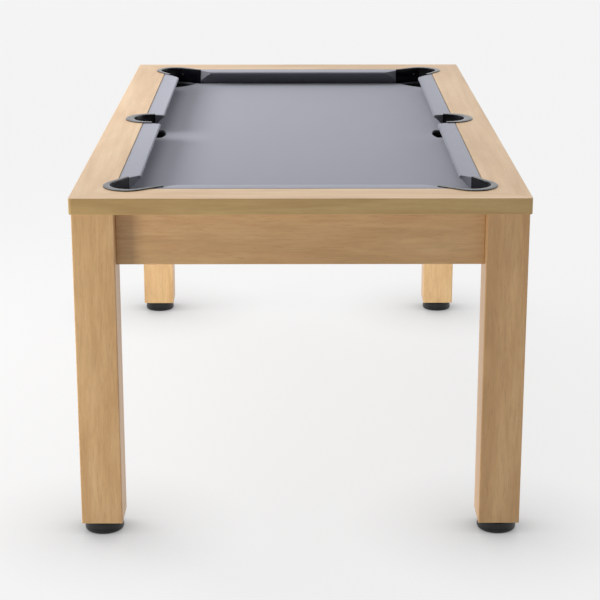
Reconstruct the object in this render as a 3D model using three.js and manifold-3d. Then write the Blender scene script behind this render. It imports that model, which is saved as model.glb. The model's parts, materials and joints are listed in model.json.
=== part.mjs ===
// A pool table: a wooden frame with six drop pockets, cloth cushions and bed, on four square legs
// with screw-in levelling feet. Millimetres, +Z up, origin on the floor under the table's middle.
// X runs across the table and Y along it, with the front end at -Y.
import * as THREE from 'three';
import { mergeVertices } from 'three/addons/utils/BufferGeometryUtils.js';
import Module from 'manifold-3d';

const wasm = await Module();
wasm.setup();

// ---------------------------------------------------------------- driving dimensions

const WIDTH = 1016;
const LENGTH = 1780;
const RAIL_TOP = 800; // height of the wooden top frame
const FACE = 37; // height of the frame's outer face
const CORNER_RADIUS = 8; // of the frame's outer upright corners
const WOOD = 92; // width of the wooden rail, edge to cloth
const CUSHION = 48; // width of the cushion, wood to nose
const GAP = 0.3; // left between neighbouring pieces

const BED_TOP = 758; // playing surface
const CLOTH = 2;
const SLAB = 22;
const SLAB_INSET = 57; // slab edge, from the table's edge

const LEG = 94; // side of the square leg
const LEG_INSET = 5; // leg face, behind the frame's face
const LEG_ROUND = 3;
const LEG_CHAMFER = 28; // cut off the inner corner of the leg's top for its bracket
const CHAMFER_START = 646;

const APRON_INSET = 37; // apron face, from the table's edge
const APRON = 18;
const APRON_BOTTOM = 640;
const JOIST = 22;
const JOIST_DEPTH = 55;
const JOIST_PLACES = [-560, -230, 230, 560];

const FOOT_HEIGHT = 29; // floor to the leg's lower end
const FOOT_RADIUS = 45;
const STEM_RADIUS = 6;
const STEM_TOP = 104;
const INSERT_RADIUS = 10;
const INSERT_TOP = 60;

const RIM = 3; // the liner's flange stands this much above the wood
const LINER_WALL = 3;
const BUCKET_BOTTOM = 655;
const BUCKET_WALL = 3;

// Corner pockets are laid out in a frame with its origin at the table's corner and its first axis
// along the diagonal, side pockets in one with its origin at the table's edge, square to it.
const CORNER_POCKET = {
  rim: { centre: 169.7, radius: 56, splay: 10, tip: 218 },
  mouth: { centre: 176.8, radius: 46, splay: 14, tip: 222 },
  bedArc: { centre: 56.6, radius: 165.5 },
  bucket: { centre: 195.2, radius: 61 },
};
const SIDE_POCKET = {
  rim: { centre: 103, radius: 62, splay: 0, tip: 114 },
  mouth: { centre: 114, radius: 50, splay: 3, tip: 116 },
  bedArc: { centre: 27.4, radius: 122 },
  bucket: { centre: 116, radius: 58 },
};
const CORNER_JAW = { atWood: 176, atNose: 230 }; // cushion ends, from the table's corner
const SIDE_JAW = { atWood: 54, atNose: 58.5 }; // cushion ends, from the table's middle

const CORNERS = [
  { name: 'front_left', x: -1, y: -1, turn: 0 },
  { name: 'front_right', x: 1, y: -1, turn: Math.PI / 2 },
  { name: 'back_right', x: 1, y: 1, turn: Math.PI },
  { name: 'back_left', x: -1, y: 1, turn: -Math.PI / 2 },
];
const MIDDLES = [
  { name: 'side_left', x: -1, turn: 0 },
  { name: 'side_right', x: 1, turn: Math.PI },
];

// ---------------------------------------------------------------- materials

const finishes = {
  wood: { color: 0xc8a57a, roughness: 0.55, metalness: 0 },
  board: { color: 0xb9a283, roughness: 0.85, metalness: 0 },
  cloth: { color: 0x8f93a0, roughness: 0.95, metalness: 0 },
  plastic: { color: 0x1a1a1c, roughness: 0.4, metalness: 0 },
  rubber: { color: 0x141414, roughness: 0.6, metalness: 0 },
  steel: { color: 0xb4b6b8, roughness: 0.35, metalness: 0.9 },
};

// ---------------------------------------------------------------- helpers

// A closed three.js geometry as a solid that can be joined and cut.
function solid(geometry) {
  const bare = geometry.clone();
  bare.deleteAttribute('normal');
  bare.deleteAttribute('uv');
  const merged = mergeVertices(bare, 1e-4);
  const vertProperties = new Float32Array(merged.attributes.position.array);
  const triVerts = new Uint32Array(merged.index.array);
  return new wasm.Manifold(new wasm.Mesh({ numProp: 3, vertProperties, triVerts }));
}

// A joined or cut solid back as a geometry.
function shell(body) {
  const mesh = body.getMesh();
  const geometry = new THREE.BufferGeometry();
  geometry.setAttribute('position', new THREE.BufferAttribute(mesh.vertProperties, 3));
  geometry.setIndex(new THREE.BufferAttribute(mesh.triVerts, 1));
  geometry.computeVertexNormals();
  return geometry;
}

const points = (list) => new THREE.Shape(list.map(([x, y]) => new THREE.Vector2(x, y)));

// An upright prism over a flat outline.
function prism(outline, low, high) {
  const geometry = new THREE.ExtrudeGeometry(outline, { depth: high - low, bevelEnabled: false, curveSegments: 4 });
  return geometry.translate(0, 0, low);
}

function block(x0, x1, y0, y1, z0, z1) {
  const geometry = new THREE.BoxGeometry(x1 - x0, y1 - y0, z1 - z0);
  return geometry.translate((x0 + x1) / 2, (y0 + y1) / 2, (z0 + z1) / 2);
}

// An upright round rod.
function rod(radius, low, high, sides, x = 0, y = 0) {
  const geometry = new THREE.CylinderGeometry(radius, radius, high - low, sides);
  return geometry.rotateX(Math.PI / 2).translate(x, y, (low + high) / 2);
}

// A body turned round the upright axis from a profile of [radius, height].
function turned(profile, sides) {
  const line = profile.map(([radius, height]) => new THREE.Vector2(radius, height));
  return new THREE.LatheGeometry(line, sides).rotateX(Math.PI / 2);
}

function roundedRectangle(x0, x1, y0, y1, radius) {
  const outline = new THREE.Shape();
  outline.absarc(x1 - radius, y1 - radius, radius, 0, Math.PI / 2);
  outline.absarc(x0 + radius, y1 - radius, radius, Math.PI / 2, Math.PI);
  outline.absarc(x0 + radius, y0 + radius, radius, Math.PI, Math.PI * 1.5);
  outline.absarc(x1 - radius, y0 + radius, radius, Math.PI * 1.5, Math.PI * 2);
  return outline;
}

const group = new THREE.Group();

function add(name, geometry, finish, x = 0, y = 0, turn = 0) {
  const mesh = new THREE.Mesh(geometry, new THREE.MeshStandardMaterial(finishes[finish]));
  mesh.name = name;
  mesh.position.set(x, y, 0);
  mesh.rotation.z = turn;
  group.add(mesh);
}

const cornerPoint = (corner) => [corner.x * WIDTH / 2, corner.y * LENGTH / 2];

// A cutter drawn in the corner's or the side's own frame, moved to its place on the table.
function atCorner(geometry, corner) {
  return solid(geometry.clone().rotateZ(corner.turn).translate(...cornerPoint(corner), 0));
}

function atMiddle(geometry, side) {
  return solid(geometry.clone().rotateZ(side.turn).translate(side.x * WIDTH / 2, 0, 0));
}

const cutAll = (body, cutters) => cutters.reduce((left, cutter) => left.subtract(cutter), body);

// ---------------------------------------------------------------- pocket outlines

const ARC_STEPS = 14;

// A thumb shape open towards the table: a round back, then two splayed arms out to the tip.
function thumb({ centre, radius, splay, tip }, grow = 0) {
  const lean = THREE.MathUtils.degToRad(splay);
  const reach = radius + grow;
  const half = reach * Math.cos(lean) + (tip - centre + reach * Math.sin(lean)) * Math.tan(lean);
  const list = [[tip, half]];
  for (let step = 0; step <= ARC_STEPS; step++) {
    const angle = Math.PI / 2 + lean + (Math.PI - 2 * lean) * step / ARC_STEPS;
    list.push([centre + reach * Math.cos(angle), reach * Math.sin(angle)]);
  }
  list.push([tip, -half]);
  return list;
}

// The band between an outer and an inner thumb.
const crescent = (outer, inner) => points([...outer, ...inner.reverse()]);

function pocketLiner({ rim, mouth }) {
  const flange = crescent(thumb(rim), thumb(mouth));
  const wall = crescent(thumb({ ...mouth, tip: mouth.tip - 1 }, LINER_WALL), thumb({ ...mouth, tip: mouth.tip - 1 }));
  const overlap = 0.4;
  return solid(prism(flange, RAIL_TOP + GAP, RAIL_TOP + RIM))
    .add(solid(prism(wall, BED_TOP + 2 * GAP, RAIL_TOP + GAP + overlap)));
}

function pocketBucket({ bucket }) {
  const inner = bucket.radius - BUCKET_WALL;
  const top = BED_TOP - CLOTH - SLAB - 2 * GAP;
  const lip = 7;
  const lipHeight = 3;
  return turned([
    [0, BUCKET_BOTTOM],
    [bucket.radius - 6, BUCKET_BOTTOM],
    [bucket.radius, BUCKET_BOTTOM + 6],
    [bucket.radius, top - lipHeight],
    [bucket.radius + lip, top - lipHeight],
    [bucket.radius + lip, top],
    [inner, top],
    [inner, BUCKET_BOTTOM + BUCKET_WALL],
    [0, BUCKET_BOTTOM + BUCKET_WALL],
  ], 20).translate(bucket.centre, 0, 0);
}

// The way down through the bed: inside the liner, over the bucket, behind the arc the balls cross.
function bedHole({ mouth, bedArc, bucket }) {
  const low = BED_TOP - CLOTH - SLAB - 10;
  const high = BED_TOP + 10;
  const throat = solid(prism(points(thumb({ ...mouth, tip: 260 }, -0.5)), low, high));
  const arc = solid(rod(bedArc.radius, low, high, 96, bedArc.centre));
  const overBucket = solid(rod(bucket.radius - BUCKET_WALL - 1, low, high, 32, bucket.centre));
  return shell(throat.intersect(arc).intersect(overBucket));
}

// What the wooden rails and the cushions leave free for the liner's wall.
const linerRoom = ({ mouth }, tip) =>
  prism(points(thumb({ ...mouth, tip }, LINER_WALL + 2 * GAP)), BED_TOP - 5, RAIL_TOP + 10);

const HALF_TURN = Math.PI / 4;
const cornerHole = bedHole(CORNER_POCKET).rotateZ(HALF_TURN);
const sideHole = bedHole(SIDE_POCKET);
const bedHoles = [
  ...CORNERS.map((corner) => atCorner(cornerHole, corner)),
  ...MIDDLES.map((side) => atMiddle(sideHole, side)),
];

// ---------------------------------------------------------------- top frame

const halfWidth = WIDTH / 2;
const halfLength = LENGTH / 2;
const legEnd = LEG_INSET + LEG;

// A rail seen from above, along x, with mitred ends: its outer edge, its inner edge, its half length.
function railPlan(outer, inner, half) {
  return points([[-half + outer, outer], [half - outer, outer], [half - inner, inner], [-half + inner, inner]]);
}

// One rail lying along x with its outer face at y = 0, stepped down inside to sit on the bed.
function railBlank(half) {
  const upper = prism(railPlan(0, WOOD, half - GAP / 2), RAIL_TOP - FACE, RAIL_TOP);
  const lower = prism(railPlan(SLAB_INSET + 1, WOOD, half - GAP / 2), BED_TOP + GAP, RAIL_TOP - FACE + 1);
  return shell(solid(upper).add(solid(lower)));
}

const frameOutline = roundedRectangle(-halfWidth, halfWidth, -halfLength, halfLength, CORNER_RADIUS);
const frameEnvelope = solid(prism(frameOutline, 0, RAIL_TOP + 10));
const legRoom = block(0, legEnd + 1, 0, legEnd + 1, BED_TOP - 60, RAIL_TOP - FACE);
const railCutters = [
  ...CORNERS.map((corner) => atCorner(linerRoom(CORNER_POCKET, 300).rotateZ(HALF_TURN), corner)),
  ...MIDDLES.map((side) => atMiddle(linerRoom(SIDE_POCKET, 150), side)),
  ...CORNERS.map((corner) => atCorner(legRoom, corner)),
];

const EDGES = [
  { name: 'front', turn: 0, half: halfWidth, out: halfLength },
  { name: 'right', turn: Math.PI / 2, half: halfLength, out: halfWidth },
  { name: 'back', turn: Math.PI, half: halfWidth, out: halfLength },
  { name: 'left', turn: -Math.PI / 2, half: halfLength, out: halfWidth },
];

for (const edge of EDGES) {
  const blank = railBlank(edge.half).translate(0, -edge.out, 0).rotateZ(edge.turn);
  add(`rail_${edge.name}`, shell(cutAll(solid(blank).intersect(frameEnvelope), railCutters)), 'wood');
}

// ---------------------------------------------------------------- cushions

// The cushion's section, as [distance from the wood, height]: flat top, round nose, undercut face.
const NOSE = { height: BED_TOP + 36, radius: 3.5 };

function cushionSection() {
  const outline = new THREE.Shape();
  outline.moveTo(GAP, BED_TOP + 1.5 * GAP);
  outline.lineTo(17, BED_TOP + 1.5 * GAP);
  outline.lineTo(CUSHION - 2, NOSE.height - NOSE.radius);
  outline.absarc(CUSHION - NOSE.radius, NOSE.height, NOSE.radius, -Math.PI / 3, Math.PI / 2);
  outline.lineTo(GAP, RAIL_TOP - 0.5);
  return outline;
}

// One straight cushion along x from start to end, its back against a rail whose edge is y = 0.
function cushionBlank(start, end) {
  const geometry = new THREE.ExtrudeGeometry(cushionSection(), { depth: end - start, bevelEnabled: false, curveSegments: 6 });
  const axes = new THREE.Matrix4().makeBasis(
    new THREE.Vector3(0, 1, 0), new THREE.Vector3(0, 0, 1), new THREE.Vector3(1, 0, 0));
  return geometry.applyMatrix4(axes).translate(start, WOOD, 0);
}

// What is cut from the cushions for a corner pocket: everything between its two slanted jaws.
function cornerJaws() {
  const run = (CORNER_JAW.atNose - CORNER_JAW.atWood) / CUSHION;
  const atEdge = CORNER_JAW.atWood - WOOD * run;
  const beyond = WOOD + CUSHION + 10;
  const far = CORNER_JAW.atNose + 10 * run;
  return prism(points([[0, 0], [atEdge, 0], [far, beyond], [beyond, far], [0, atEdge]]), BED_TOP - 5, RAIL_TOP + 10);
}

function sideJaws() {
  const beyond = WOOD + CUSHION + 1;
  return prism(points([
    [0, -SIDE_JAW.atWood], [WOOD, -SIDE_JAW.atWood], [beyond, -SIDE_JAW.atNose],
    [beyond, SIDE_JAW.atNose], [WOOD, SIDE_JAW.atWood], [0, SIDE_JAW.atWood],
  ]), BED_TOP - 5, RAIL_TOP + 10);
}

const jawCutters = [
  ...CORNERS.map((corner) => atCorner(cornerJaws(), corner)),
  ...CORNERS.map((corner) =>
    atCorner(linerRoom(CORNER_POCKET, CORNER_POCKET.mouth.tip).rotateZ(HALF_TURN), corner)),
  ...MIDDLES.map((side) => atMiddle(sideJaws(), side)),
  ...MIDDLES.map((side) => atMiddle(linerRoom(SIDE_POCKET, SIDE_POCKET.mouth.tip), side)),
];

function cushion(name, edge, start, end) {
  const blank = cushionBlank(start, end).translate(0, -edge.out, 0).rotateZ(edge.turn);
  add(name, shell(cutAll(solid(blank), jawCutters)), 'cloth');
}

const [front, right, back, left] = EDGES;
const cushionEnd = halfLength - CORNER_JAW.atWood;
cushion('cushion_front', front, -halfWidth + CORNER_JAW.atWood, halfWidth - CORNER_JAW.atWood);
cushion('cushion_back', back, -halfWidth + CORNER_JAW.atWood, halfWidth - CORNER_JAW.atWood);
cushion('cushion_right_front', right, -cushionEnd, -1);
cushion('cushion_right_back', right, 1, cushionEnd);
cushion('cushion_left_back', left, -cushionEnd, -1);
cushion('cushion_left_front', left, 1, cushionEnd);

// ---------------------------------------------------------------- bed

const notch = legEnd + 1.5;
const notchChamfer = 2 * legEnd - LEG_CHAMFER + 2;
const legNotch = prism(points([
  [0, 0], [notch, 0], [notch, notchChamfer - notch], [notchChamfer - notch, notch], [0, notch],
]), BED_TOP - 40, BED_TOP + 10);
const bedCutters = [...bedHoles, ...CORNERS.map((corner) => atCorner(legNotch, corner))];

function bedSheet(low, high) {
  const x = halfWidth - SLAB_INSET;
  const y = halfLength - SLAB_INSET;
  return shell(cutAll(solid(block(-x, x, -y, y, low, high)), bedCutters));
}

const slabTop = BED_TOP - CLOTH - GAP;
const slabBottom = slabTop - SLAB;
add('bed_slab', bedSheet(slabBottom, slabTop), 'board');
add('bed_cloth', bedSheet(BED_TOP - CLOTH, BED_TOP), 'cloth');

// ---------------------------------------------------------------- pockets

for (const corner of CORNERS) {
  const [x, y] = cornerPoint(corner);
  const turn = corner.turn + HALF_TURN;
  add(`pocket_liner_${corner.name}`, shell(pocketLiner(CORNER_POCKET)), 'plastic', x, y, turn);
  add(`pocket_bucket_${corner.name}`, pocketBucket(CORNER_POCKET), 'plastic', x, y, turn);
}

const sideBucket = solid(pocketBucket(SIDE_POCKET))
  .subtract(solid(block(0, APRON_INSET + APRON + 1, -100, 100, 0, RAIL_TOP)));
for (const side of MIDDLES) {
  add(`pocket_liner_${side.name}`, shell(pocketLiner(SIDE_POCKET)), 'plastic', side.x * halfWidth, 0, side.turn);
  add(`pocket_bucket_${side.name}`, shell(sideBucket), 'plastic', side.x * halfWidth, 0, side.turn);
}

// ---------------------------------------------------------------- aprons and joists

const railBottom = RAIL_TOP - FACE - GAP;
for (const edge of EDGES) {
  const half = edge.half - legEnd - GAP;
  const board = block(-half, half, APRON_INSET, APRON_INSET + APRON, APRON_BOTTOM, railBottom);
  add(`apron_${edge.name}`, board.translate(0, -edge.out, 0).rotateZ(edge.turn), 'wood');
}

JOIST_PLACES.forEach((y, index) => {
  const half = halfWidth - APRON_INSET - APRON - GAP;
  const top = slabBottom - GAP;
  add(`joist_${index + 1}`, block(-half, half, y - JOIST / 2, y + JOIST / 2, top - JOIST_DEPTH, top), 'board');
});

// ---------------------------------------------------------------- legs and feet

// All of these are drawn at one corner, with x and y running inwards from the table's two edges.
const legMiddle = LEG_INSET + LEG / 2;
const boltHeight = 700;
const boltRadius = 4;
const chamferFace = 2 * legEnd - LEG_CHAMFER; // x + y on the leg's chamfer
const DIAGONAL = Math.SQRT1_2;

// A rod along the diagonal at the bolt's height, between two distances from the corner.
function diagonalRod(radius, start, end, sides) {
  const geometry = new THREE.CylinderGeometry(radius, radius, end - start, sides);
  return geometry.rotateZ(-Math.PI / 2).translate((start + end) / 2, 0, boltHeight).rotateZ(HALF_TURN);
}

function leg() {
  const column = prism(roundedRectangle(LEG_INSET, legEnd, LEG_INSET, legEnd, LEG_ROUND), FOOT_HEIGHT, railBottom);
  const wedge = prism(points([
    [chamferFace - legEnd - 5, legEnd + 5], [legEnd + 5, chamferFace - legEnd - 5], [legEnd + 5, legEnd + 5],
  ]), CHAMFER_START, RAIL_TOP);
  return cutAll(solid(column), [
    solid(wedge),
    solid(rod(INSERT_RADIUS + 9, FOOT_HEIGHT - 1, FOOT_HEIGHT + 3, 16, legMiddle, legMiddle)),
    solid(rod(INSERT_RADIUS + GAP, FOOT_HEIGHT - 1, INSERT_TOP + 1, 16, legMiddle, legMiddle)),
    solid(rod(STEM_RADIUS + 1, INSERT_TOP, STEM_TOP + 6, 12, legMiddle, legMiddle)),
    solid(diagonalRod(boltRadius + GAP, chamferFace * DIAGONAL - 42, chamferFace * DIAGONAL + 5, 12)),
  ]);
}

function threadedInsert() {
  const bore = STEM_RADIUS + 0.5;
  return turned([
    [bore, FOOT_HEIGHT + GAP],
    [INSERT_RADIUS + 8, FOOT_HEIGHT + GAP],
    [INSERT_RADIUS + 8, FOOT_HEIGHT + 2.5],
    [INSERT_RADIUS, FOOT_HEIGHT + 2.5],
    [INSERT_RADIUS, INSERT_TOP],
    [bore, INSERT_TOP],
    [bore, FOOT_HEIGHT + GAP],
  ], 16).translate(legMiddle, legMiddle, 0);
}

const padTop = FOOT_HEIGHT - 0.4;
const socket = { radius: 7.4, floor: 7.6, top: 19.8 };
const recess = 16; // round the stem's collar

function footPad() {
  return turned([
    [0, 0],
    [FOOT_RADIUS - 4, 0],
    [FOOT_RADIUS, 4],
    [FOOT_RADIUS - 1.5, padTop - 2],
    [FOOT_RADIUS - 3.5, padTop],
    [recess, padTop],
    [recess, socket.top],
    [socket.radius, socket.top],
    [socket.radius, socket.floor],
    [0, socket.floor],
  ], 24).translate(legMiddle, legMiddle, 0);
}

// The screw: a plain end that turns in the pad's socket, a six-sided collar and the threaded rod.
function levellerStem() {
  return solid(rod(socket.radius - 0.4, socket.floor + GAP, socket.top + 1, 12, legMiddle, legMiddle))
    .add(solid(rod(12.7, socket.top + GAP, FOOT_HEIGHT - 2, 6, legMiddle, legMiddle)))
    .add(solid(rod(STEM_RADIUS, FOOT_HEIGHT - 4, STEM_TOP, 12, legMiddle, legMiddle)));
}

// A bent steel plate across the leg's chamfer, its two wings against the aprons.
const PLATE = 2.5;
const bracketFace = chamferFace + 2 * GAP;

function legBracket() {
  const wing = APRON_INSET + APRON + GAP;
  const bend = PLATE * (Math.SQRT2 - 1);
  const wingEnd = 150;
  const outline = points([
    [wing, wingEnd], [wing, bracketFace - wing], [bracketFace - wing, wing], [wingEnd, wing],
    [wingEnd, wing + PLATE], [bracketFace - wing + bend, wing + PLATE],
    [wing + PLATE, bracketFace - wing + bend], [wing + PLATE, wingEnd],
  ]);
  const hole = diagonalRod(boltRadius + GAP, chamferFace * DIAGONAL - 5, chamferFace * DIAGONAL + 12, 12);
  return solid(prism(outline, boltHeight - 30, boltHeight + 28)).subtract(solid(hole));
}

function legBolt() {
  const start = chamferFace * DIAGONAL;
  const plateOut = bracketFace * DIAGONAL + PLATE + GAP;
  return solid(diagonalRod(boltRadius, start - 40, plateOut + 1, 12))
    .add(solid(diagonalRod(7.5, plateOut, plateOut + 6.5, 6)));
}

for (const corner of CORNERS) {
  const place = [...cornerPoint(corner), corner.turn];
  add(`leg_${corner.name}`, shell(leg()), 'wood', ...place);
  add(`leg_bracket_${corner.name}`, shell(legBracket()), 'steel', ...place);
  add(`leg_bolt_${corner.name}`, shell(legBolt()), 'steel', ...place);
  add(`threaded_insert_${corner.name}`, threadedInsert(), 'steel', ...place);
  add(`foot_pad_${corner.name}`, footPad(), 'rubber', ...place);
  add(`leveller_stem_${corner.name}`, shell(levellerStem()), 'steel', ...place);
}

export default group;
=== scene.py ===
# The looks of the pool table: every visible piece and its material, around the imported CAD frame.
# Metres, in the CAD's own frame: X across the table, Y along it, Z up from the floor.
import json
import math

import bmesh
import bpy
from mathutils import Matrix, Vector

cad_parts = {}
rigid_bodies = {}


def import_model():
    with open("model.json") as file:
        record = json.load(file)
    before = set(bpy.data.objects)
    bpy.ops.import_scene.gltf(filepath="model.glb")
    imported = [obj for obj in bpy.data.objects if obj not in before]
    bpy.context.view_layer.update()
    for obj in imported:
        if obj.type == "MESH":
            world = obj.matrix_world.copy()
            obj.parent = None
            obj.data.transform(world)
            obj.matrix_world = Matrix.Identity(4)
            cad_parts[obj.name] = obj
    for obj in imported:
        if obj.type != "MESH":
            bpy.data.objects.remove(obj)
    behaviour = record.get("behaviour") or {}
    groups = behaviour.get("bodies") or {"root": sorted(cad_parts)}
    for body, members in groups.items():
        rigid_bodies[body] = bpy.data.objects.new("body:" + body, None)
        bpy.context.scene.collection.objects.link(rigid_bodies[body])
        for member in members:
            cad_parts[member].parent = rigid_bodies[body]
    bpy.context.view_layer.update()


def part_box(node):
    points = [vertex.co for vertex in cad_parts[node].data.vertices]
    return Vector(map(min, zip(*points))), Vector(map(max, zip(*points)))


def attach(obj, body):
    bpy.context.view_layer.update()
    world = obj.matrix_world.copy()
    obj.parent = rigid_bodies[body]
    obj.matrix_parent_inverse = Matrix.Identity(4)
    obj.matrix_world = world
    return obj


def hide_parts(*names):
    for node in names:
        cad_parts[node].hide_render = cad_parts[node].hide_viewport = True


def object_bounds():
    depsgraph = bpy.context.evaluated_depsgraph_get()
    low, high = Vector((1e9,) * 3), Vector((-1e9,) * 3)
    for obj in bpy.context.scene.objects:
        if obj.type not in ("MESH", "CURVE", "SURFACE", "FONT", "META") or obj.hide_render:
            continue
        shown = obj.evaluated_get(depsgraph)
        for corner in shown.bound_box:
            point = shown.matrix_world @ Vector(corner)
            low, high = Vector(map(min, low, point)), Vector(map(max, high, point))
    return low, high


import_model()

MM = 0.001
CAMERA_PLACE = (-0.0159, -4.4103, 1.6775)
LOOKS_DOWN, TURNED_RIGHT = 0.262, 0.0041  # radians
FLOOR_REACH = 60  # metres each way
FLOOR_GLOW = 0.777  # where nothing shades it
ROOT = "table"
CORNERS = ("front_left", "front_right", "back_right", "back_left")
SIDES = ("side_left", "side_right")
POCKETS = CORNERS + SIDES
EDGES = ("front", "right", "back", "left")

# Sizes taken from the frame: the table's own box, the rails' top and the playing surface.
HALF_WIDTH, HALF_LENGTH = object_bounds()[1][:2]
RAIL_LOW, RAIL_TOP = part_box("rail_front")[0][2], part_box("rail_front")[1][2]
BED_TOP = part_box("bed_cloth")[1][2]
RIM_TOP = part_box("pocket_liner_front_left")[1][2]
LINER_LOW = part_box("pocket_liner_front_left")[0][2]
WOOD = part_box("rail_front")[1][1] + HALF_LENGTH
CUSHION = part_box("cushion_front")[1][1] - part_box("rail_front")[1][1]


# ---------------------------------------------------------------- camera, lights and floor

def aim(piece, target):
    piece.rotation_euler = (Vector(target) - piece.location).to_track_quat("-Z", "Y").to_euler()


def make_camera():
    data = bpy.data.cameras.new("camera")
    data.sensor_width = 36
    data.lens = 99.9
    data.shift_y = -0.12
    data.clip_end = 200
    camera = bpy.data.objects.new("camera", data)
    camera.location = CAMERA_PLACE
    camera.rotation_euler = (math.pi / 2 - LOOKS_DOWN, 0, -TURNED_RIGHT)
    bpy.context.collection.objects.link(camera)
    bpy.context.scene.camera = camera


def sun(name, source, spread, strength, colour=(1, 1, 1)):
    """A soft far light that comes from the direction of source."""
    data = bpy.data.lights.new(name, "SUN")
    data.angle = math.radians(spread)
    data.energy = strength
    data.color = colour
    light = bpy.data.objects.new(name, data)
    light.location = source
    aim(light, (0, 0, 0))
    bpy.context.collection.objects.link(light)


def area_light(name, place, target, size, watts, colour=(1, 1, 1)):
    data = bpy.data.lights.new(name, "AREA")
    data.shape = "RECTANGLE"
    data.size, data.size_y = size
    data.energy = watts
    data.color = colour
    light = bpy.data.objects.new(name, data)
    light.location = place
    aim(light, target)
    light.visible_camera = False
    light.visible_glossy = False
    bpy.context.collection.objects.link(light)


def make_lights():
    """Two wide suns for the room, and three area lights that reflections don't show."""
    sun("light_top", (-1.6, 1.6, 3.6), 60, 1.62, (1.0, 0.995, 0.985))
    sun("light_right", (4.0, 0.7, 0.7), 45, 0.40, (0.98, 0.985, 1.0))
    area_light("light_left", (-1.9, 0.45, 1.52), (-0.2, 0, 0.76), (1.0, 0.6), 33, (1.0, 0.985, 0.965))
    area_light("light_front_left", (-2.1, -1.95, 0.38), (-0.2, -0.9, 0.42), (0.6, 0.6), 32, (0.95, 0.98, 1.0))
    area_light("light_under", (0, -0.3, 0.36), (0, 0.9, 0.3), (0.7, 0.5), 12.5, (0.74, 0.88, 1.0))


def keep_off_floor(pieces):
    """Two of the lights only fill in the wood; the paper under the table doesn't receive them."""
    lit = bpy.data.collections.new("filled_pieces")
    for piece in pieces:
        lit.objects.link(piece)
    for name in ("light_front_left", "light_under"):
        bpy.data.objects[name].light_linking.receiver_collection = lit


def make_world():
    world = bpy.data.worlds.new("studio")
    bpy.context.scene.world = world
    world.use_nodes = True
    nodes, links = world.node_tree.nodes, world.node_tree.links
    nodes.clear()
    output = nodes.new("ShaderNodeOutputWorld")
    mix = nodes.new("ShaderNodeMixShader")
    seen = nodes.new("ShaderNodeBackground")
    seen.inputs["Color"].default_value = (0.915, 0.915, 0.915, 1)
    room = nodes.new("ShaderNodeBackground")
    rays = nodes.new("ShaderNodeLightPath")
    place = nodes.new("ShaderNodeTexCoord")
    split = nodes.new("ShaderNodeSeparateXYZ")
    ramp = nodes.new("ShaderNodeValToRGB")
    half = nodes.new("ShaderNodeMath")
    half.operation = "MULTIPLY_ADD"
    half.inputs[1].default_value = 0.5
    half.inputs[2].default_value = 0.5
    links.new(place.outputs["Generated"], split.inputs[0])
    links.new(split.outputs["Y"], half.inputs[0])
    links.new(half.outputs[0], ramp.inputs["Fac"])
    ramp.color_ramp.elements[0].position = 0.22
    ramp.color_ramp.elements[0].color = (0.08, 0.08, 0.08, 1)
    ramp.color_ramp.elements[1].position = 0.60
    ramp.color_ramp.elements[1].color = (0.86, 0.86, 0.87, 1)
    links.new(ramp.outputs["Color"], room.inputs["Color"])
    links.new(rays.outputs["Is Camera Ray"], mix.inputs["Fac"])
    links.new(room.outputs[0], mix.inputs[1])
    links.new(seen.outputs[0], mix.inputs[2])
    links.new(mix.outputs[0], output.inputs["Surface"])


def make_floor():
    mesh = bpy.data.meshes.new("floor")
    corners = [(x * FLOOR_REACH, y * FLOOR_REACH, 0) for x, y in ((-1, -1), (1, -1), (1, 1), (-1, 1))]
    mesh.from_pydata(corners, [], [(0, 1, 2, 3)])
    floor = bpy.data.objects.new("floor", mesh)
    bpy.context.collection.objects.link(floor)
    material = bpy.data.materials.new("floor_paper")
    material.use_nodes = True
    nodes, links = material.node_tree.nodes, material.node_tree.links
    shader = nodes["Principled BSDF"]
    shader.inputs["Base Color"].default_value = (0.10, 0.10, 0.10, 1)
    shader.inputs["Roughness"].default_value = 0.9
    shader.inputs["Specular IOR Level"].default_value = 0.1
    # painted shadow: ambient occlusion leaned to the left dims the paper's glow, so soft shadows lie round
    # the feet and to their right
    painted_shadow_mask = nodes.new("ShaderNodeAmbientOcclusion")
    painted_shadow_mask.inputs["Distance"].default_value = 0.30
    painted_shadow_mask.inputs["Normal"].default_value = (-0.92, 0.08, 0.38)
    glow_with_painted_shadow = nodes.new("ShaderNodeMapRange")
    glow_with_painted_shadow.inputs["To Min"].default_value = 0.0
    glow_with_painted_shadow.inputs["To Max"].default_value = FLOOR_GLOW
    links.new(painted_shadow_mask.outputs["AO"], glow_with_painted_shadow.inputs["Value"])
    links.new(glow_with_painted_shadow.outputs["Result"], shader.inputs["Emission Strength"])
    shader.inputs["Emission Color"].default_value = (1, 1, 1, 1)
    mesh.materials.append(material)


# ---------------------------------------------------------------- material helpers

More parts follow.
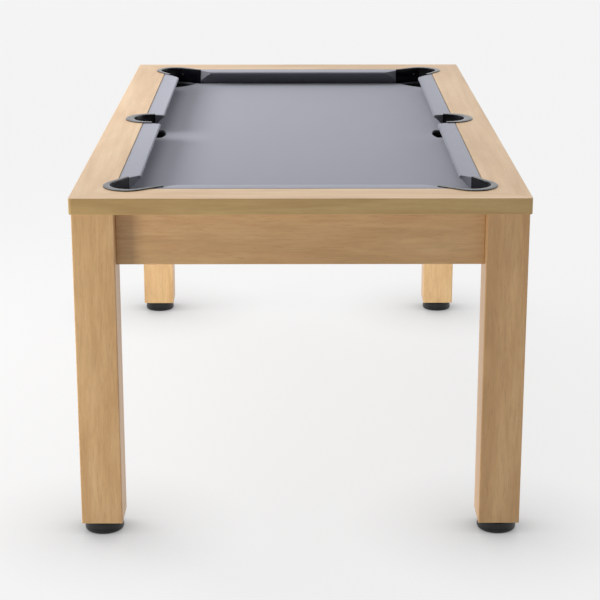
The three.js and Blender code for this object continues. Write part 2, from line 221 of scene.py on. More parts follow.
class Nodes:
    """A material's node tree with short names for what the materials below repeat."""

    def __init__(self, name):
        self.material = bpy.data.materials.new(name)
        self.material.use_nodes = True
        self.tree = self.material.node_tree
        self.shader = self.tree.nodes["Principled BSDF"]
        self.place = self.tree.nodes.new("ShaderNodeTexCoord").outputs["Object"]

    def set(self, **values):
        for key, value in values.items():
            self.shader.inputs[key.replace("_", " ")].default_value = value

    def link(self, start, end):
        self.tree.links.new(start, end)

    def stretched(self, along=1.0, across=1.0, grain="X", shift=(0, 0, 0)):
        """The piece's coordinates, scaled by along on the grain's axis and by across on the others."""
        node = self.tree.nodes.new("ShaderNodeMapping")
        node.inputs["Location"].default_value = shift
        node.inputs["Scale"].default_value = [along if axis == grain else across for axis in "XYZ"]
        self.link(self.place, node.inputs["Vector"])
        return node.outputs["Vector"]

    def normal_up(self):
        """How far the surface looks up: 1 on a level top, 0 on an upright face."""
        split = self.tree.nodes.new("ShaderNodeSeparateXYZ")
        self.link(self.tree.nodes.new("ShaderNodeNewGeometry").outputs["Normal"], split.inputs[0])
        return split.outputs["Z"]

    def noise(self, where, scale, detail=4.0, roughness=0.55, distortion=0.0):
        node = self.tree.nodes.new("ShaderNodeTexNoise")
        node.inputs["Scale"].default_value = scale
        node.inputs["Detail"].default_value = detail
        node.inputs["Roughness"].default_value = roughness
        node.inputs["Distortion"].default_value = distortion
        self.link(where, node.inputs["Vector"])
        return node.outputs["Fac"]

    def wave(self, where, scale, distortion=0.0, detail=2.0, direction="X"):
        node = self.tree.nodes.new("ShaderNodeTexWave")
        node.bands_direction = direction
        node.wave_profile = "SIN"
        node.inputs["Scale"].default_value = scale
        node.inputs["Distortion"].default_value = distortion
        node.inputs["Detail"].default_value = detail
        node.inputs["Detail Scale"].default_value = 1.2
        self.link(where, node.inputs["Vector"])
        return node.outputs["Fac"]

    def voronoi(self, where, scale):
        node = self.tree.nodes.new("ShaderNodeTexVoronoi")
        node.inputs["Scale"].default_value = scale
        self.link(where, node.inputs["Vector"])
        return node.outputs["Distance"]

    def ramp(self, value, *stops):
        node = self.tree.nodes.new("ShaderNodeValToRGB")
        elements = node.color_ramp.elements
        while len(elements) < len(stops):
            elements.new(0.5)
        for element, (position, colour) in zip(elements, stops):
            element.position = position
            element.color = colour if hasattr(colour, "__len__") else (colour, colour, colour, 1)
        self.link(value, node.inputs["Fac"])
        return node.outputs["Color"]

    def mix(self, factor, first, second, blend="MIX"):
        node = self.tree.nodes.new("ShaderNodeMix")
        node.data_type = "RGBA"
        node.blend_type = blend
        for value, socket in ((factor, node.inputs[0]), (first, node.inputs[6]), (second, node.inputs[7])):
            if hasattr(value, "is_linked"):
                self.link(value, socket)
            else:
                socket.default_value = value
        return node.outputs[2]

    def bump(self, height, strength, distance):
        node = self.tree.nodes.new("ShaderNodeBump")
        node.inputs["Strength"].default_value = strength
        node.inputs["Distance"].default_value = distance
        self.link(height, node.inputs["Height"])
        self.link(node.outputs["Normal"], self.shader.inputs["Normal"])


# ---------------------------------------------------------------- materials

def wood_material(name, grain, seed, tint=(1.0, 1.0, 1.0), side_shade_tint=(1.0, 1.0, 1.0), figure=1.0):
    """Light oak veneer with its grain along one axis; faces that don't look up take the side tint, a darker
    colour that is painted shade.
    """
    nodes = Nodes(name)
    shift = (seed * 1.37, seed * 0.71, seed * 2.13)

    def tone(r, g, b):
        return (r * tint[0], g * tint[1], b * tint[2], 1)

    def field(along, across, scale=1.0, detail=3.0, roughness=0.5, distortion=0.0):
        return nodes.noise(nodes.stretched(along, across, grain, shift), scale, detail, roughness, distortion)

    # broad figure: long soft flames along the board
    flames = field(1.5, 11.0, 1.6, 3, 0.5, 0.8)
    body = nodes.ramp(flames, (0.30, tone(0.50, 0.315, 0.160)), (0.48, tone(0.575, 0.375, 0.205)),
                      (0.66, tone(0.63, 0.435, 0.255)))
    # arched bands of the growth rings
    bands = nodes.wave(nodes.stretched(0.9, 9.0, grain, shift), 1.3, 6.5, 2, "X" if grain == "Y" else "Y")
    banded = nodes.mix(nodes.ramp(bands, (0.50, 0.0), (0.95, 0.26 * figure)), body,
                       tone(0.44, 0.262, 0.125))
    # reddish clouds
    clouds = field(3.5, 13.0, 1.3, 4, 0.6, 0.5)
    reddish = nodes.mix(nodes.ramp(clouds, (0.50, 0.0), (0.70, 0.42 * figure)), banded,
                        tone(0.50, 0.268, 0.140))
    # fine streaks along the grain
    streaks = field(13, 150, 1.0, 5, 0.68)
    streaked = nodes.mix(nodes.ramp(streaks, (0.38, 0.34 * figure), (0.56, 0.0)), reddish,
                         tone(0.41, 0.245, 0.115))
    light = field(9, 120, 1.7, 3, 0.6)
    lit = nodes.mix(nodes.ramp(light, (0.55, 0.0), (0.74, 0.35)), streaked, tone(0.66, 0.47, 0.29))
    # short pores
    pores = field(34, 520, 1.0, 2, 0.5)
    pored = nodes.mix(nodes.ramp(pores, (0.60, 0.0), (0.72, 0.42 * figure)), lit, tone(0.36, 0.19, 0.09))
    # painted shade: faces that don't look up are multiplied by the darker side tint
    side_shade_mask = nodes.ramp(nodes.normal_up(), (0.45, 1.0), (0.75, 0.0))
    nodes.link(nodes.mix(side_shade_mask, pored, nodes.mix(1.0, pored, (*side_shade_tint, 1), "MULTIPLY")),
               nodes.shader.inputs["Base Color"])
    nodes.link(nodes.ramp(streaks, (0.3, 0.42), (0.7, 0.52)), nodes.shader.inputs["Roughness"])
    grooves = nodes.mix(0.5, nodes.ramp(streaks, (0.3, 0.0), (0.7, 1.0)),
                        nodes.ramp(pores, (0.6, 1.0), (0.75, 0.0)))
    nodes.bump(grooves, 0.15, 0.0004)
    nodes.set(Coat_Weight=0.30, Coat_Roughness=0.35)
    return nodes.material


def board_material():
    nodes = Nodes("raw_board")
    specks = nodes.noise(nodes.stretched(), 900, 3, 0.6)
    clouds = nodes.noise(nodes.stretched(), 14, 3, 0.5)
    base = nodes.ramp(specks, (0.35, (0.27, 0.185, 0.10, 1)), (0.65, (0.44, 0.33, 0.20, 1)))
    nodes.link(nodes.mix(nodes.ramp(clouds, (0.3, 0.0), (0.7, 0.3)), base, (0.36, 0.25, 0.15, 1)),
               nodes.shader.inputs["Base Color"])
    nodes.link(nodes.ramp(specks, (0.3, 0.80), (0.7, 0.94)), nodes.shader.inputs["Roughness"])
    nodes.bump(specks, 0.25, 0.0003)
    return nodes.material


def cloth_material(name, nap, painted_shade=1.0):
    """Worsted billiard cloth: a fine weave under a brushed nap that runs along one axis."""
    nodes = Nodes(name)

    # the last argument scales every colour of the cloth: painted shade, lower for the bed than for the
    # cushions
    def grey(r, g, b):
        return (r * painted_shade, g * painted_shade, b * painted_shade, 1)

    weft = nodes.wave(nodes.stretched(), 260, 0.6, 1, "X")
    warp = nodes.wave(nodes.stretched(), 260, 0.6, 1, "Y")
    weave = nodes.mix(0.5, weft, warp)
    fuzz = nodes.noise(nodes.stretched(420, 900, nap), 1.0, 3, 0.6)
    brush = nodes.noise(nodes.stretched(3.0, 22, nap), 1.0, 3, 0.5)
    heather = nodes.ramp(fuzz, (0.30, grey(0.165, 0.170, 0.200)), (0.70, grey(0.265, 0.270, 0.305)))
    soft = nodes.mix(nodes.ramp(brush, (0.35, 0.0), (0.65, 0.22)), heather, grey(0.24, 0.245, 0.28))
    woven = nodes.mix(nodes.ramp(weave, (0.2, 0.16), (0.8, 0.0)), soft, grey(0.12, 0.125, 0.15))
    nodes.link(woven, nodes.shader.inputs["Base Color"])
    nodes.link(nodes.ramp(fuzz, (0.3, 0.82), (0.7, 0.95)), nodes.shader.inputs["Roughness"])
    nodes.bump(nodes.mix(0.6, weave, fuzz), 0.35, 0.0003)
    nodes.set(Sheen_Weight=0.55, Sheen_Roughness=0.45, Sheen_Tint=(0.86, 0.88, 1.0, 1),
              Specular_IOR_Level=0.15)
    return nodes.material


def plastic_material(name, grain_size, roughness, base=(0.012, 0.012, 0.014), shine=0.5):
    nodes = Nodes(name)
    grain = nodes.noise(nodes.stretched(), grain_size, 3, 0.6)
    scuffs = nodes.noise(nodes.stretched(), 30, 4, 0.6)
    dark = tuple(value * 0.7 for value in base) + (1,)
    light = tuple(value * 1.6 for value in base) + (1,)
    nodes.link(nodes.ramp(scuffs, (0.35, dark), (0.70, light)), nodes.shader.inputs["Base Color"])
    scuffed = nodes.ramp(scuffs, (0.30, roughness - 0.05), (0.75, roughness + 0.09))
    upward = nodes.ramp(nodes.normal_up(), (0.55, 1.0), (0.90, 0.72))
    nodes.link(nodes.mix(1.0, scuffed, upward, "MULTIPLY"), nodes.shader.inputs["Roughness"])
    nodes.bump(grain, 0.10, 0.0002)
    nodes.set(Specular_IOR_Level=shine)
    return nodes.material


def steel_material(name, dark, light):
    """Plated steel between two greys, with a faint crystalline spangle and handling marks."""
    nodes = Nodes(name)
    spangle = nodes.voronoi(nodes.stretched(), 260)
    marks = nodes.noise(nodes.stretched(), 120, 4, 0.6)
    nodes.link(nodes.ramp(spangle, (0.0, dark), (0.9, light)), nodes.shader.inputs["Base Color"])
    nodes.link(nodes.ramp(marks, (0.3, 0.30), (0.7, 0.48)), nodes.shader.inputs["Roughness"])
    nodes.bump(marks, 0.08, 0.0002)
    nodes.set(Metallic=1.0)
    return nodes.material


# ---------------------------------------------------------------- mesh helpers

SMOOTH_BELOW = math.radians(32)


def new_piece(name, verts, faces, material, slot, body=ROOT, replaces=()):
    mesh = bpy.data.meshes.new(name)
    mesh.from_pydata([tuple(v) for v in verts], [], faces)
    return finish_piece(name, mesh, material, body, replaces)


def finish_piece(name, mesh, material, body=ROOT, replaces=()):
    bm = bmesh.new()
    bm.from_mesh(mesh)
    bmesh.ops.recalc_face_normals(bm, faces=bm.faces)
    bm.to_mesh(mesh)
    bm.free()
    mesh.materials.clear()
    mesh.materials.append(material)
    for polygon in mesh.polygons:
        polygon.use_smooth = True
        polygon.material_index = 0
    mesh.set_sharp_from_angle(angle=SMOOTH_BELOW)
    piece = bpy.data.objects.new(name, mesh)
    bpy.context.collection.objects.link(piece)
    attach(piece, body)
    if replaces:
        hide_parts(*replaces)
    return piece


def node_bmesh(node):
    """The CAD node's mesh as a bmesh of its own, with its flat faces made whole."""
    bm = bmesh.new()
    bm.from_mesh(bpy.data.objects[node].data)
    bmesh.ops.remove_doubles(bm, verts=bm.verts, dist=1e-6)
    bmesh.ops.dissolve_limit(bm, angle_limit=math.radians(1.0), verts=bm.verts, edges=bm.edges)
    return bm


def eased(node, name, radius, material, segments=3, wanted=lambda edge: True):
    """A copy of a CAD node with its sharp edges rounded over, standing for the node."""
    bm = node_bmesh(node)
    sharp = [
        edge for edge in bm.edges
        if len(edge.link_faces) == 2 and edge.calc_face_angle() > math.radians(40) and wanted(edge)
    ]
    bmesh.ops.bevel(bm, geom=sharp, offset=radius, segments=segments, profile=0.5, affect="EDGES",
                    clamp_overlap=True)
    mesh = bpy.data.meshes.new(name)
    bm.to_mesh(mesh)
    bm.free()
    piece = finish_piece(name, mesh, material, replaces=(node,))
    flats = piece.modifiers.new("flat_faces", "WEIGHTED_NORMAL")
    flats.mode = "FACE_AREA"
    flats.keep_sharp = True
    return piece


def rings_to_mesh(rings, cap=True):
    """Vertices and faces of a skin over rings of points, with its two ends closed."""
    size = len(rings[0])
    verts = [point for ring in rings for point in ring]
    faces = []
    for index in range(len(rings) - 1):
        for step in range(size):
            a = index * size + step
            b = index * size + (step + 1) % size
            faces.append((a, b, b + size, a + size))
    if cap:
        faces.append(tuple(range(size)))
        faces.append(tuple(range((len(rings) - 1) * size, len(rings) * size)))
    return verts, faces


def turned(profile, segments, centre):
    """A body turned round an upright axis, from (radius, height) points that start and end on the axis."""
    verts, faces = [], []
    rings = []
    for radius, height in profile:
        if radius < 1e-7:
            rings.append([len(verts)])
            verts.append((centre[0], centre[1], height))
            continue
        rings.append(list(range(len(verts), len(verts) + segments)))
        for step in range(segments):
            angle = 2 * math.pi * step / segments
            verts.append((centre[0] + radius * math.cos(angle), centre[1] + radius * math.sin(angle), height))
    for low, high in zip(rings, rings[1:]):
        for step in range(segments):
            nxt = (step + 1) % segments
            if len(low) == 1:
                faces.append((low[0], high[nxt], high[step]))
            elif len(high) == 1:
                faces.append((low[step], low[nxt], high[0]))
            else:
                faces.append((low[step], low[nxt], high[nxt], high[step]))
    return verts, faces


# ---------------------------------------------------------------- where things are

def corner_point(name):
    return (HALF_WIDTH * (1 if "right" in name else -1), HALF_LENGTH * (1 if "back" in name else -1))


def pocket_frame(name):
    """The pocket's origin on the table's edge or corner, and the angle of its axis towards the bed."""
    if name in SIDES:
        right = name == "side_right"
        return (HALF_WIDTH if right else -HALF_WIDTH, 0.0), (math.pi if right else 0.0)
    x, y = corner_point(name)
    return (x, y), math.atan2(-y / abs(y), -x / abs(x))


def in_pocket(name, along, across, height):
    (x, y), turn = pocket_frame(name)
    return (x + along * math.cos(turn) - across * math.sin(turn),
            y + along * math.sin(turn) + across * math.cos(turn), height)


# The pocket outlines of the CAD, in metres: a round back and two splayed arms.
CORNER_POCKET = {
    "rim": (0.1697, 0.056, 10, 0.218),
    "mouth": (0.1768, 0.046, 14, 0.222),
}
SIDE_POCKET = {
    "rim": (0.103, 0.062, 0, 0.114),
    "mouth": (0.114, 0.050, 3, 0.116),
}
BUCKETS = {True: (0.1952, 0.061), False: (0.116, 0.058)}
SIDE_BUCKET_INSET = 56.5 * MM
RIB_HEIGHT, RIBS, RIB_SHARPNESS = 0.010, 18, 6

# Where a cushion ends at the wood, from the corner or from mid-length, and how the cut runs on.
CORNER_JAW, CORNER_JAW_SLOPE = 0.1768, 54 / 48
SIDE_JAW, SIDE_JAW_WIDENS, SIDE_JAW_DEEP = 0.0545, 4.5, 49

LINER_SCREW_ANGLES, LINER_SCREW_DROP = (112, 248), 19 * MM
# painted highlight: rim faces that look up more than this get the lighter, shinier plastic
FACES_UP = 0.35  # the least upward part of a normal on the liner's rim

# A leg's lower end, the height its foot stays under, and the bore whose edges aren't rounded.
LEG_END, ABOVE_FOOT = 0.0292, 0.2
BORE_FROM, BORE_REACH = 0.028, 0.03
COLLAR_CORNER = 1.11  # where the collar's corners are cut, as a part of its half-width


def thumb(shape, grow=0.0, steps=48, arm_steps=5):
    """A pocket's outline, out along one arm, round the back and in along the other."""
    centre, radius, splay, tip = shape
    lean = math.radians(splay)
    reach = radius + grow
    start = centre - reach * math.sin(lean)
    half = reach * math.cos(lean)
    arm = [(tip + (start - tip) * k / arm_steps, half + (tip - start) * (1 - k / arm_steps) * math.tan(lean))
           for k in range(arm_steps)]
    arc = []
    for step in range(steps + 1):
        angle = math.pi / 2 + lean + (math.pi - 2 * lean) * step / steps
        arc.append((centre + reach * math.cos(angle), reach * math.sin(angle)))
    return arm + arc + [(along, -across) for along, across in reversed(arm)]


# ---------------------------------------------------------------- the pieces

def make_rails(woods):
    def on_mitre(edge):
        ends = [vertex.co for vertex in edge.verts]
        return all(abs((HALF_WIDTH - abs(p.x)) - (HALF_LENGTH - abs(p.y))) < 0.6 * MM for p in ends)

    def wanted(edge):
        return not on_mitre(edge) and min(vertex.co.z for vertex in edge.verts) > RAIL_LOW + 4 * MM

    for edge in EDGES:
        eased(f"rail_{edge}", f"top_rail_{edge}", 1.6 * MM, woods[f"rail_{edge}"], 3, wanted)


def make_wooden_frame(woods):
    for edge in EDGES:
        eased(f"apron_{edge}", f"apron_board_{edge}", 0.8 * MM, woods[f"apron_{edge}"], 2)
    for corner in CORNERS:
        eased(f"leg_{corner}", f"square_leg_{corner}", 1.2 * MM, woods[f"leg_{corner}"], 2,
              lambda edge: all(v.co.z < LEG_END or v.co.z > ABOVE_FOOT for v in edge.verts)
              and not all(BORE_FROM < v.co.z < ABOVE_FOOT and inside_foot(v.co, BORE_REACH)
                          for v in edge.verts))


def inside_foot(point, reach):
    """Whether a point lies within reach of the upright axis of its foot."""
    middle = [(a + b) / 2 for a, b in zip(*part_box("foot_pad_front_left"))]
    return math.hypot(abs(point.x) - abs(middle[0]), abs(point.y) - abs(middle[1])) < reach


def cushion_section():
    """The cushion's outline as (distance from the wood, height): undercut, round nose, crowned top."""
    low = BED_TOP + 0.7 * MM
    nose_z = BED_TOP + 36 * MM
    outline = [(0.5 * MM, low), (9 * MM, low), (16.5 * MM, low)]
    foot = (18 * MM, low + 1.5 * MM)
    under = (CUSHION - 5.2 * MM, nose_z - 4.8 * MM)
    for k in range(5):
        t = k / 4
        sag = -1.6 * MM * math.sin(math.pi * t)
        outline.append((foot[0] + (under[0] - foot[0]) * t + sag, foot[1] + (under[1] - foot[1]) * t))
    radius = 4.6 * MM
    centre = (CUSHION - radius - 0.1 * MM, nose_z - 0.4 * MM)
    for k in range(9):
        angle = math.radians(-48 + 132 * k / 8)
        outline.append((centre[0] + radius * math.cos(angle), centre[1] + radius * math.sin(angle)))
    top_nose = outline[-1]
    top_back = (2.6 * MM, RAIL_TOP - 0.3 * MM)
    for k in range(1, 8):
        t = k / 7
        crown = 0.5 * MM * math.sin(math.pi * t)
        outline.append((top_nose[0] + (top_back[0] - top_nose[0]) * t,
                        top_nose[1] + (top_back[1] - top_nose[1]) * t + crown))
    outline.append((1.2 * MM, RAIL_TOP - 1.0 * MM))
    outline.append((0.5 * MM, RAIL_TOP - 2.6 * MM))
    return outline


def make_cushion(name, turn, out, start, end, material):
    """A cushion along one edge: start and end give the place of each end at a distance from the wood."""
    section = cushion_section()
    middle = (sum(p[0] for p in section) / len(section), sum(p[1] for p in section) / len(section))
    insets = [(0.0, 0.93), (0.35 * MM, 0.965), (1.1 * MM, 0.988), (2.4 * MM, 1.0)]
    count = 46
    stations = [(step, size, 0) for step, size in insets]
    stations += [(0, 1.0, k / count) for k in range(1, count)]
    stations += [(-step, size, 1) for step, size in reversed(insets)]
    rings = []
    for step, size, t in stations:
        ring = []
        for away, height in section:
            place = start(away) + (end(away) - start(away)) * t + step
            if t in (0, 1):
                away = middle[0] + (away - middle[0]) * size
                height = middle[1] + (height - middle[1]) * size
            ripple = 0.12 * MM * math.sin(place * 61) * math.sin(place * 23 + away * 90)
            x, y = place, -out + WOOD + away
            ring.append((x * math.cos(turn) - y * math.sin(turn), x * math.sin(turn) + y * math.cos(turn),
                         height + ripple * (t not in (0, 1))))
        rings.append(ring)
    verts, faces = rings_to_mesh(rings)
    piece = new_piece(f"cloth_{name}", verts, faces, material, "cushion_cloth", replaces=(name,))


def make_cushions(cloth_x, cloth_y):
    def corner_jaw(half, sign):
        return lambda away: sign * (half - CORNER_JAW - away * CORNER_JAW_SLOPE)

    def side_jaw(sign):
        return lambda away: sign * (SIDE_JAW + away * SIDE_JAW_WIDENS / SIDE_JAW_DEEP)

    for end, turn in (("front", 0), ("back", math.pi)):
        make_cushion(f"cushion_{end}", turn, HALF_LENGTH, corner_jaw(HALF_WIDTH, -1),
                     corner_jaw(HALF_WIDTH, 1), cloth_x)
    for side, turn in (("right", math.pi / 2), ("left", -math.pi / 2)):
        near, far = ("front", "back") if side == "right" else ("back", "front")
        make_cushion(f"cushion_{side}_{near}", turn, HALF_WIDTH, corner_jaw(HALF_LENGTH, -1),
                     side_jaw(-1), cloth_y)
        make_cushion(f"cushion_{side}_{far}", turn, HALF_WIDTH, side_jaw(1),
                     corner_jaw(HALF_LENGTH, 1), cloth_y)


def make_liner(name, material, rim_highlight_material, screw_material):
    shape = SIDE_POCKET if name in SIDES else CORNER_POCKET
    under = RAIL_TOP + 0.35 * MM
    top = RIM_TOP
    outer = thumb(shape["rim"])
    inner = thumb(shape["mouth"])
    wall = thumb(shape["mouth"], 3 * MM)
    rings = []
    for (ou, ov), (iu, iv), (wu, wv) in zip(outer, inner, wall):
        def between(t, height):
            return in_pocket(name, iu + (ou - iu) * t, iv + (ov - iv) * t, height)

        width = max(math.hypot(ou - iu, ov - iv), 1 * MM)
        soft = min(1.1 * MM / width, 0.3)
        ring = [
            in_pocket(name, iu, iv, LINER_LOW),
            in_pocket(name, iu, iv, LINER_LOW + 20 * MM),
            in_pocket(name, iu, iv, top - 1.5 * MM),
            between(soft * 0.3, top - 0.7 * MM),
            between(soft, top - 0.25 * MM),
            between(0.35, top),
            between(0.65, top),
            between(1 - soft, top - 0.3 * MM),
            between(1 - soft * 0.3, top - 0.8 * MM),
            between(1, top - 1.5 * MM),
            between(1, under),
        ]
        if width > 4.5 * MM:
            ring += [in_pocket(name, wu, wv, under), in_pocket(name, wu, wv, LINER_LOW)]
        else:
            ring += [between(0.99, under), between(0.99, LINER_LOW)]
        rings.append(ring)
    verts, faces = rings_to_mesh(rings)
    liner = new_piece(f"liner_{name}", verts, faces, material, "pocket_plastic",
                      replaces=(f"pocket_liner_{name}",))
    liner.data.materials.append(rim_highlight_material)
    for polygon in liner.data.polygons:
        # painted highlight: the rim's upward faces take the lighter copy of the black plastic, the rest the
        # darker one
        polygon.material_index = int(polygon.normal.z > FACES_UP and polygon.center.z > RAIL_TOP)

    # the two pan-head screws that hold the liner, on its inner wall
    centre, radius, _, _ = shape["mouth"]
    for number, angle in enumerate(LINER_SCREW_ANGLES):
        direction = (math.cos(math.radians(angle)), math.sin(math.radians(angle)))
        verts, faces = screw_head()
        placed = []
        for x, y, z in verts:
            reach = radius - x
            along = centre + reach * direction[0] - y * direction[1]
            across = reach * direction[1] + y * direction[0]
            placed.append(in_pocket(name, along, across, RAIL_TOP - LINER_SCREW_DROP + z))
        new_piece(f"liner_screw_{name}_{number + 1}", placed, faces, screw_material, "steel")


def screw_head(sides=20):
    """A pan head with a cross recess, its axis along x and its underside at x = 0."""
    profile = [(0.0, 0.0), (4.6, 0.0), (4.6, 0.5), (4.3, 1.4), (3.4, 2.0), (2.2, 2.3), (1.9, 1.2), (0.0, 1.0)]
    verts, faces = turned([(r * MM, h * MM) for r, h in profile], sides, (0, 0))
    cross = []
    for x, y, z in verts:
        angle = math.atan2(y, x)
        radius = math.hypot(x, y)
        if 1.0 * MM < radius < 2.5 * MM:
            radius *= 0.62 + 0.38 * abs(math.cos(2 * angle))
        cross.append((z, radius * math.cos(angle), radius * math.sin(angle)))
    return cross, faces


def make_bucket(name, material):
    centre, radius = BUCKETS[name in CORNERS]
    low, high = (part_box(f"pocket_bucket_{name}")[k][2] for k in (0, 1))
    x, y, _ = in_pocket(name, centre, 0, 0)
    lip = radius + 6.5 * MM
    profile = [
        (0, low), (radius - 7 * MM, low), (radius - 3 * MM, low + 1 * MM),
        (radius - 0.8 * MM, low + 3.4 * MM), (radius, low + 7 * MM), (radius, low + 30 * MM),
        (radius + 0.8 * MM, low + 31 * MM), (radius + 0.8 * MM, low + 35 * MM),
        (radius, low + 36 * MM), (radius, high - 4 * MM), (lip - 0.6 * MM, high - 3 * MM),
        (lip, high - 2.4 * MM), (lip, high - 0.6 * MM), (lip - 0.6 * MM, high),
        (radius - 3 * MM, high), (radius - 3.4 * MM, high - 2 * MM),
        (radius - 3.6 * MM, low + 10 * MM), (radius - 6 * MM, low + 4.6 * MM),
        (radius - 10 * MM, low + 3 * MM), (0, low + 3 * MM),
    ]
    verts, faces = turned(profile, 72, (x, y))
    if name in SIDES:
        limit = HALF_WIDTH - SIDE_BUCKET_INSET
        verts = [(max(-limit, min(limit, vx)), vy, vz) for vx, vy, vz in verts]
    ribbed = []
    for vx, vy, vz in verts:
        angle = math.atan2(vy - y, vx - x)
        reach = math.hypot(vx - x, vy - y)
        if abs(reach - radius) < 0.2 * MM and low + 6 * MM < vz < high - 3 * MM:
            grow = 1 + RIB_HEIGHT * max(0.0, math.cos(angle * RIBS)) ** RIB_SHARPNESS
            vx, vy = x + (vx - x) * grow, y + (vy - y) * grow
        ribbed.append((vx, vy, vz))
    new_piece(f"bucket_{name}", ribbed, faces, material, "pocket_plastic",
              replaces=(f"pocket_bucket_{name}",))


def hole_loops(bm, height):
    """The closed outlines of the pocket holes in the cloth's top, each as a list of points."""
    rim = [
        edge for edge in bm.edges
        if all(abs(vertex.co.z - height) < 1e-5 for vertex in edge.verts)
        and len(edge.link_faces) == 2 and edge.calc_face_angle() > 1.0
    ]
    follow = {}
    for edge in rim:
        for vertex in edge.verts:
            follow.setdefault(vertex, []).append(edge)
    loops, seen = [], set()
    for first in rim:
        if first in seen:
            continue
        loop, edge, vertex = [], first, first.verts[0]
        while edge not in seen:
            seen.add(edge)
            loop.append(vertex.co.copy())
            vertex = edge.other_vert(vertex)
            edge = next((other for other in follow[vertex] if other not in seen), edge)
        loops.append(loop)
    return loops


def smooth_loop(loop, spacing=4 * MM):
    """The same closed outline with points at even spacing."""
    dense = []
    for start, end in zip(loop, loop[1:] + loop[:1]):
        parts = max(1, round((end - start).length / spacing))
        dense += [start.lerp(end, k / parts) for k in range(parts)]
    return dense


def ribbon(loop, centre, section):
    """A closed strip that follows the loop; section gives (millimetres inwards, millimetres up)."""
    rings = []
    for index in range(len(loop) + 1):
        here = loop[index % len(loop)]
        ahead = loop[(index + 1) % len(loop)] - loop[(index % len(loop)) - 1]
        inward = Vector((-ahead.y, ahead.x, 0)).normalized()
        if inward.dot(centre - here) < 0:
            inward = -inward
        rings.append([tuple(here + inward * step * MM + Vector((0, 0, drop * MM))) for step, drop in section])
    return rings_to_mesh(rings, cap=False)


def weld(piece):
    bm = bmesh.new()
    bm.from_mesh(piece.data)
    bmesh.ops.remove_doubles(bm, verts=bm.verts, dist=1e-6)
    bm.to_mesh(piece.data)
    bm.free()


HOLE_ALONG = 0.15  # about the middle of a hole, along its pocket's axis
LONGEST_HOLE = 0.6  # round a pocket hole, in metres; the cloth's own edge is far longer
TURN_IN = [(0.0, -1.6), (0.3, -0.8), (0.9, -1.0), (1.2, -2.0), (1.2, -5.0), (0.0, -5.0)]
# a black band over the slab's hole wall, below the turn-in: a dark sheet standing for the shade inside the
# hole
HOLE_SHADE_BAND = [(0.1, -5.4), (1.0, -5.4), (1.4, -6.2), (1.4, -23.4), (1.0, -24.2), (0.1, -24.2)]


def make_bed(cloth, board, plastic):
    height = BED_TOP
    bm = node_bmesh("bed_cloth")
    loops = [loop for loop in hole_loops(bm, height)
             if sum((b - a).length for a, b in zip(loop, loop[1:])) < LONGEST_HOLE]
    area = sum(face.calc_area() for face in bm.faces if face.normal.z > 0.9)
    bm.free()
    cover = eased("bed_cloth", "cloth_bed", 1.5 * MM, cloth, 3,
                  lambda edge: all(abs(vertex.co.z - height) < 1e-5 for vertex in edge.verts))
    turn_ins = []
    for loop in loops:
        dense = smooth_loop(loop)
        centre = sum(dense, Vector()) / len(dense)
        name = min(POCKETS, key=lambda pocket: (
            Vector(in_pocket(pocket, HOLE_ALONG, 0, height)) - centre).length)
        turn_ins.append(new_piece(f"cloth_turn_in_{name}", *ribbon(dense, centre, TURN_IN), cloth,
                                  "bed_cloth"))
        weld(turn_ins[-1])
        # a dark sheet on the hole wall, standing for the shade in the hole
        weld(new_piece(f"slab_edge_band_{name}", *ribbon(dense, centre, HOLE_SHADE_BAND), plastic,
                       "pocket_plastic"))
    bpy.data.objects["bed_slab"].data.materials.clear()
    bpy.data.objects["bed_slab"].data.materials.append(board)


def make_foot(corner, rubber, steel):
    low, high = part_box(f"foot_pad_{corner}")
    x, y = (low[0] + high[0]) / 2, (low[1] + high[1]) / 2
    top = high[2]
    profile = [
        (0, 0.0), (38.5, 0.0), (41.5, 0.5), (43.6, 1.9), (44.7, 4.0), (44.9, 6.4), (44.6, 8.8),
        (44.2, 9.2), (44.0, 9.9), (43.9, 14), (43.5, 20), (43.2, 24.6), (42.6, 26.4), (41.4, 27.9),
        (39.6, 28.5), (26, 28.5), (17.2, 28.5), (16.2, 28.0), (16.0, 27.2), (16.0, 19.9),
        (7.5, 19.9), (7.45, 7.7), (0, 7.7),
    ]
    scale = top / (28.6 * MM)
    verts, faces = turned([(r * MM, h * MM * scale) for r, h in profile], 96, (x, y))
    body = f"foot_{corner}"
    new_piece(f"foot_{corner}_pad", verts, faces, rubber, "foot_rubber", body, (f"foot_pad_{corner}",))
    make_stem(corner, x, y, steel)


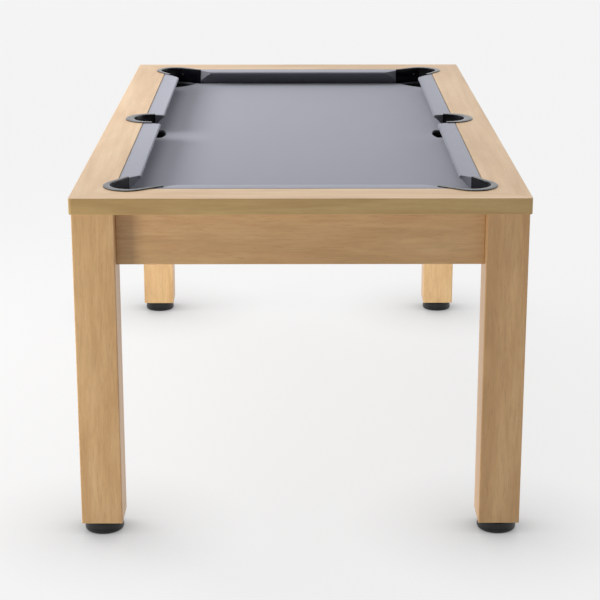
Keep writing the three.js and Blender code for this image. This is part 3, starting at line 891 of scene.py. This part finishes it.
def make_stem(corner, x, y, steel):
    """The levelling screw: a plain end in the pad, a chamfered collar and a thread of tilted rings."""
    low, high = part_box(f"leveller_stem_{corner}")
    base, tip = low[2], high[2]
    pitch, crest, root = 1.75 * MM, 6.0 * MM, 5.0 * MM
    segments = 24
    collar = (20.2 * MM, 26.9 * MM)
    rings = []

    def ring(radius_at, height_at):
        return [
            (x + radius_at(a) * math.cos(a), y + radius_at(a) * math.sin(a), height_at(a))
            for a in (2 * math.pi * k / segments for k in range(segments))
        ]

    def flat(radius, height):
        rings.append(ring(lambda a: radius, lambda a: height))

    def hexagon(size, height):
        rings.append(ring(
            lambda a: min(size / math.cos((a % (math.pi / 3)) - math.pi / 6), size * COLLAR_CORNER),
            lambda a: height))

    flat(5.6 * MM, base)
    flat(6.9 * MM, base + 1.4 * MM)
    flat(6.9 * MM, collar[0] - 0.1 * MM)
    hexagon(10.2 * MM, collar[0] + 0.1 * MM)
    hexagon(11.0 * MM, collar[0] + 0.9 * MM)
    hexagon(11.0 * MM, collar[1] - 0.9 * MM)
    hexagon(10.2 * MM, collar[1] - 0.1 * MM)
    flat(root, collar[1])
    turns = int((tip - collar[1] - 3 * MM) / pitch)
    for k in range(turns * 2):
        start = collar[1] + 0.8 * MM + k * pitch / 2
        radius = crest if k % 2 == 0 else root
        rings.append(ring(lambda a, r=radius: r, lambda a, s=start: s + pitch * a / (2 * math.pi)))
    flat(root, tip - 0.8 * MM)
    flat(root - 1.0 * MM, tip)
    verts, faces = rings_to_mesh(rings)
    new_piece(f"levelling_screw_{corner}", verts, faces, steel, "steel", f"screw_{corner}",
              (f"leveller_stem_{corner}",))


def make_frame_fittings(board, steel):
    for number in range(1, 5):
        eased(f"joist_{number}", f"cross_joist_{number}", 1.0 * MM, board, 2)
    for corner in CORNERS:
        eased(f"leg_bracket_{corner}", f"corner_bracket_{corner}", 0.5 * MM, steel, 2)


def finish_plain_nodes(steel):
    """CAD nodes whose shape is right keep it and get their materials."""
    for corner in CORNERS:
        for part in ("leg_bolt", "threaded_insert"):
            mesh = bpy.data.objects[f"{part}_{corner}"].data
            mesh.materials.clear()
            mesh.materials.append(steel)


# ---------------------------------------------------------------- putting it together

def make_table():
    woods = {}
    # the second tint of each pair darkens the upright faces: painted shade
    rail_tint, rail_side_shade = (0.96, 0.985, 0.985), (0.83, 0.79, 0.53)
    apron_tint, apron_side_shade = (1.03, 0.99, 0.92), (0.95, 0.91, 0.78)
    leg_tint, leg_side_shade = (1.03, 0.97, 0.87), (0.97, 0.93, 0.82)
    for seed, edge in enumerate(EDGES):
        grain = "X" if edge in ("front", "back") else "Y"
        woods[f"rail_{edge}"] = wood_material(f"rail_wood_{edge}", grain, seed + 1, rail_tint, rail_side_shade, 0.6)
        woods[f"apron_{edge}"] = wood_material(f"apron_wood_{edge}", grain, seed + 11, apron_tint, apron_side_shade)
    for seed, corner in enumerate(CORNERS):
        woods[f"leg_{corner}"] = wood_material(f"leg_wood_{corner}", "Z", seed + 21, leg_tint, leg_side_shade)
    board = board_material()
    steel = steel_material("zinc_plated_steel", 0.50, 0.68)
    black_steel = steel_material("blackened_steel", 0.10, 0.18)
    # one black plastic in two copies: the rim's lighter, shinier copy is a painted highlight
    liner_plastic = plastic_material("liner_plastic", 700, 0.21, (0.003, 0.003, 0.005), 0.32)
    rim_highlight_plastic = plastic_material("liner_rim_painted_highlight", 900, 0.24, (0.050, 0.050, 0.056), 0.8)
    bucket_plastic = plastic_material("bucket_plastic", 400, 0.45)
    foot_plastic = plastic_material("foot_plastic", 900, 0.34, (0.008, 0.008, 0.008), 0.45)
    # one cloth in lit and shaded copies: the bed's is painted darker than the cushions'
    bed_cloth = cloth_material("bed_cloth_woven_shaded", "Y", 0.72)
    end_cloth = cloth_material("cushion_cloth_across", "X", 0.86)
    long_cloth = cloth_material("cushion_cloth_along", "Y", 0.86)

    make_rails(woods)
    make_wooden_frame(woods)
    make_cushions(end_cloth, long_cloth)
    make_bed(bed_cloth, board, bucket_plastic)
    for name in POCKETS:
        make_liner(name, liner_plastic, rim_highlight_plastic, black_steel)
        make_bucket(name, bucket_plastic)
    for corner in CORNERS:
        make_foot(corner, foot_plastic, steel)
    make_frame_fittings(board, steel)
    finish_plain_nodes(steel)


make_camera()
make_world()
make_lights()
make_floor()
bpy.context.scene.view_settings.view_transform = "Standard"
make_table()
keep_off_floor([piece for piece in bpy.data.objects if piece.type == "MESH" and piece.name != "floor"])
